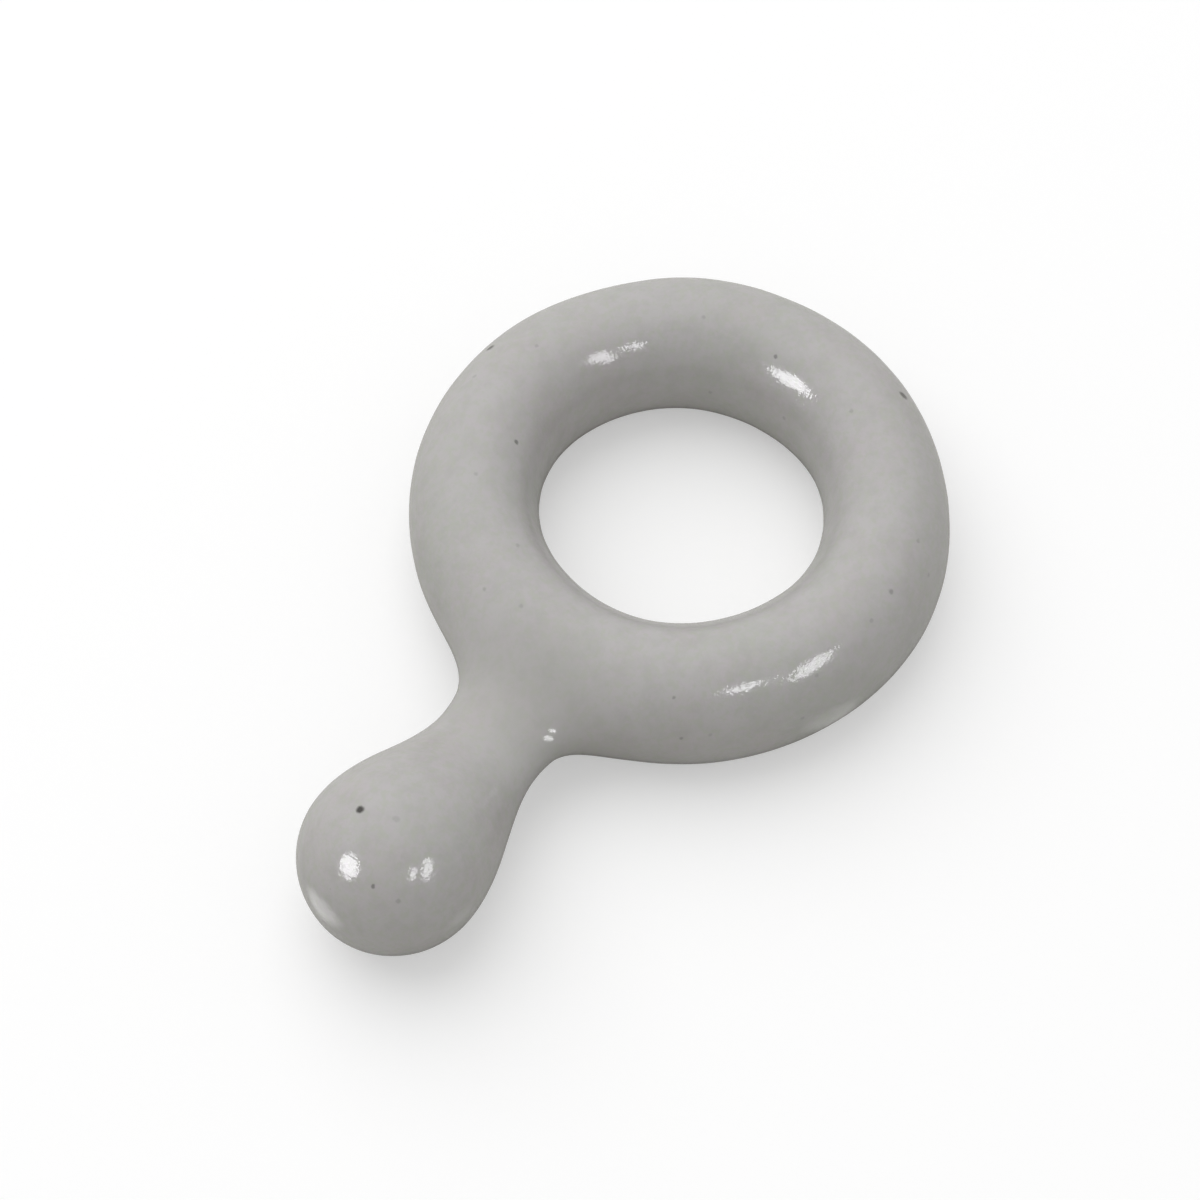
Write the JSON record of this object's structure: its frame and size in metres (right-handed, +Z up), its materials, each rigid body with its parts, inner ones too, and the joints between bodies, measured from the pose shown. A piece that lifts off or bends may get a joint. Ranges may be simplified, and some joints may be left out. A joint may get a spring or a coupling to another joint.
{
  "type": "chopstick rest",
  "caption": "Glazed ceramic chopstick rest: a round ring joined by a low waisted neck to a ball-ended drop, so that chopsticks lie in the valley between them.",
  "frame": {"origin": "on the table under the middle of the overall length and width", "axes": "+X along the length, from the drop to the ring; +Z up, square to the foot"},
  "size_m": [0.0718, 0.0458, 0.0151],
  "materials": {
    "stoneware": "bare fired clay, matt",
    "slip": "fired slip, matt",
    "glaze": "pale grey gloss glaze with a few dark iron specks"
  },
  "bodies": {
    "root": {"ring": "stoneware", "drop": "stoneware", "luting_slip": "slip", "glaze_coat": "glaze"}
  },
  "joints": []
}
